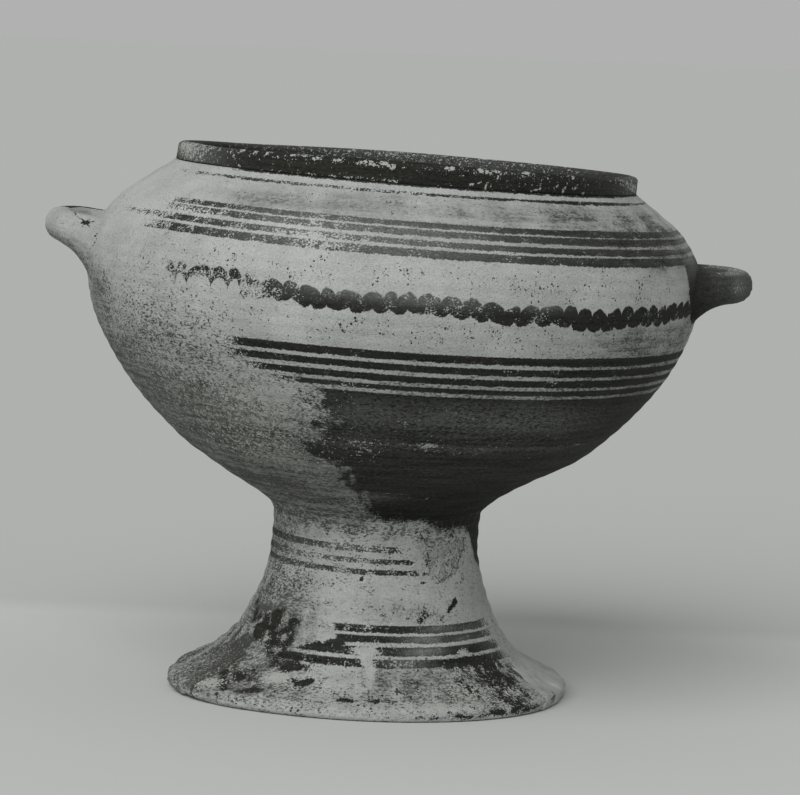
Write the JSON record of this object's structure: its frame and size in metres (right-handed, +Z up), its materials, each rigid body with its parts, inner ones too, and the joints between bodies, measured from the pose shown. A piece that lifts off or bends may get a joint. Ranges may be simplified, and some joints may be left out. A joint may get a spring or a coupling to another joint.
{
  "type": "footed bowl",
  "caption": "Deep mixing bowl with loop handles and an upright lip on a hollow flared pedestal, painted with plain bands and a wavy line, with old plaster repairs.",
  "frame": {"origin": "on the floor under the middle of the whole pot, handles included", "axes": "+Z up, +X from the left handle to the right handle, +Y away from the painted side that the picture shows"},
  "size_m": [0.426, 0.368, 0.3267],
  "materials": {
    "slipped_clay": "matt pale slip with dark painted bands, worn to grey clay in places",
    "dark_slip_paint": "satin near-black slip paint, rubbed pale on its edges",
    "bare_clay": "matt unpainted fired clay",
    "repair_plaster": "smooth matt grey plaster"
  },
  "bodies": {
    "root": {"bowl": "slipped_clay", "lip": "dark_slip_paint", "pedestal": "slipped_clay", "luting_coil": "bare_clay", "handle_left": "slipped_clay", "handle_right": "dark_slip_paint", "repair_foot_right": "repair_plaster", "repair_foot_left": "repair_plaster", "repair_stem": "repair_plaster"}
  },
  "joints": []
}
